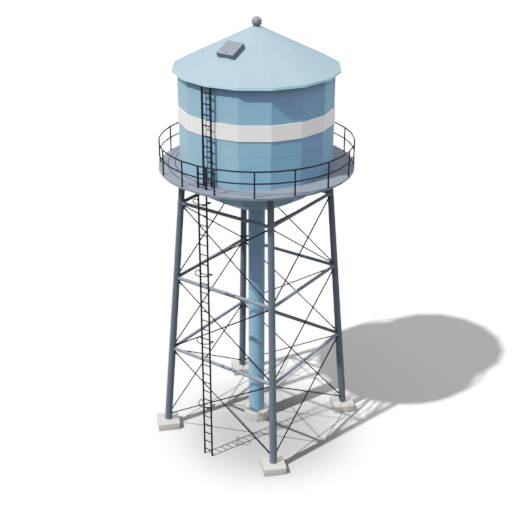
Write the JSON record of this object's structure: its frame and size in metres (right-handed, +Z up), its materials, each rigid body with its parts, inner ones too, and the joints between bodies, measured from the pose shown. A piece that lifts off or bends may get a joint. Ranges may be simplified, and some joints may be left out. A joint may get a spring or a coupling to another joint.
{
  "type": "water tower",
  "caption": "Elevated round steel water tank with a conical roof and a bowl-shaped bottom on four braced legs, with a railed platform, ladders, a riser pipe and a hinged roof hatch.",
  "frame": {"origin": "on the tower's centre line at ground level, level with the undersides of the four pads", "axes": "+Z up along the tower; -Y towards the south leg, +X towards the east leg; the ladders are at the south-west, between -X and -Y"},
  "size_m": [10.06, 10.06, 20.268],
  "materials": {
    "concrete": "cast concrete, matt",
    "frame_grey": "slate grey paint, satin",
    "dark_steel": "black paint, satin",
    "tank_blue": "mid blue paint, satin",
    "roof_blue": "pale blue paint, satin",
    "bottom_teal": "blue grey paint, satin",
    "band_white": "white paint, satin"
  },
  "bodies": {
    "tower": {"pad_west": "concrete", "pad_south": "concrete", "pad_east": "concrete", "pad_north": "concrete", "riser_footing": "concrete", "riser_pipe": "tank_blue", "leg_west": "frame_grey", "leg_south": "frame_grey", "leg_east": "frame_grey", "leg_north": "frame_grey", "strut_low_sw": "frame_grey", "strut_low_se": "frame_grey", "strut_low_ne": "frame_grey", "strut_low_nw": "frame_grey", "strut_mid_sw": "frame_grey", "strut_mid_se": "frame_grey", "strut_mid_ne": "frame_grey", "strut_mid_nw": "frame_grey", "strut_high_sw": "frame_grey", "strut_high_se": "frame_grey", "strut_high_ne": "frame_grey", "strut_high_nw": "frame_grey", "rods_low_sw": "dark_steel", "rods_low_se": "dark_steel", "rods_low_ne": "dark_steel", "rods_low_nw": "dark_steel", "rods_mid_sw": "dark_steel", "rods_mid_se": "dark_steel", "rods_mid_ne": "dark_steel", "rods_mid_nw": "dark_steel", "rods_high_sw": "dark_steel", "rods_high_se": "dark_steel", "rods_high_ne": "dark_steel", "rods_high_nw": "dark_steel", "tank_bottom": "bottom_teal", "tank_rim": "bottom_teal", "tank_wall": "tank_blue", "white_band": "band_white", "roof": "roof_blue", "hatch_curb": "frame_grey", "finial_ball": "frame_grey", "platform_deck": "frame_grey", "railing": "dark_steel", "lower_ladder": "dark_steel", "upper_ladder": "dark_steel", "safety_hoop_one": "dark_steel", "safety_hoop_two": "dark_steel", "safety_hoop_three": "dark_steel", "safety_hoop_four": "dark_steel"},
    "hatch": {"hatch_lid": "frame_grey"}
  },
  "joints": [
    {"name": "hatch_hinge", "type": "hinge", "parent": "tower", "child": "hatch", "pos_m": [-1.02032, -0.95146, 19.35505], "axis": [-0.682, 0.7314, 0], "range_deg": [0, 100]}
  ]
}
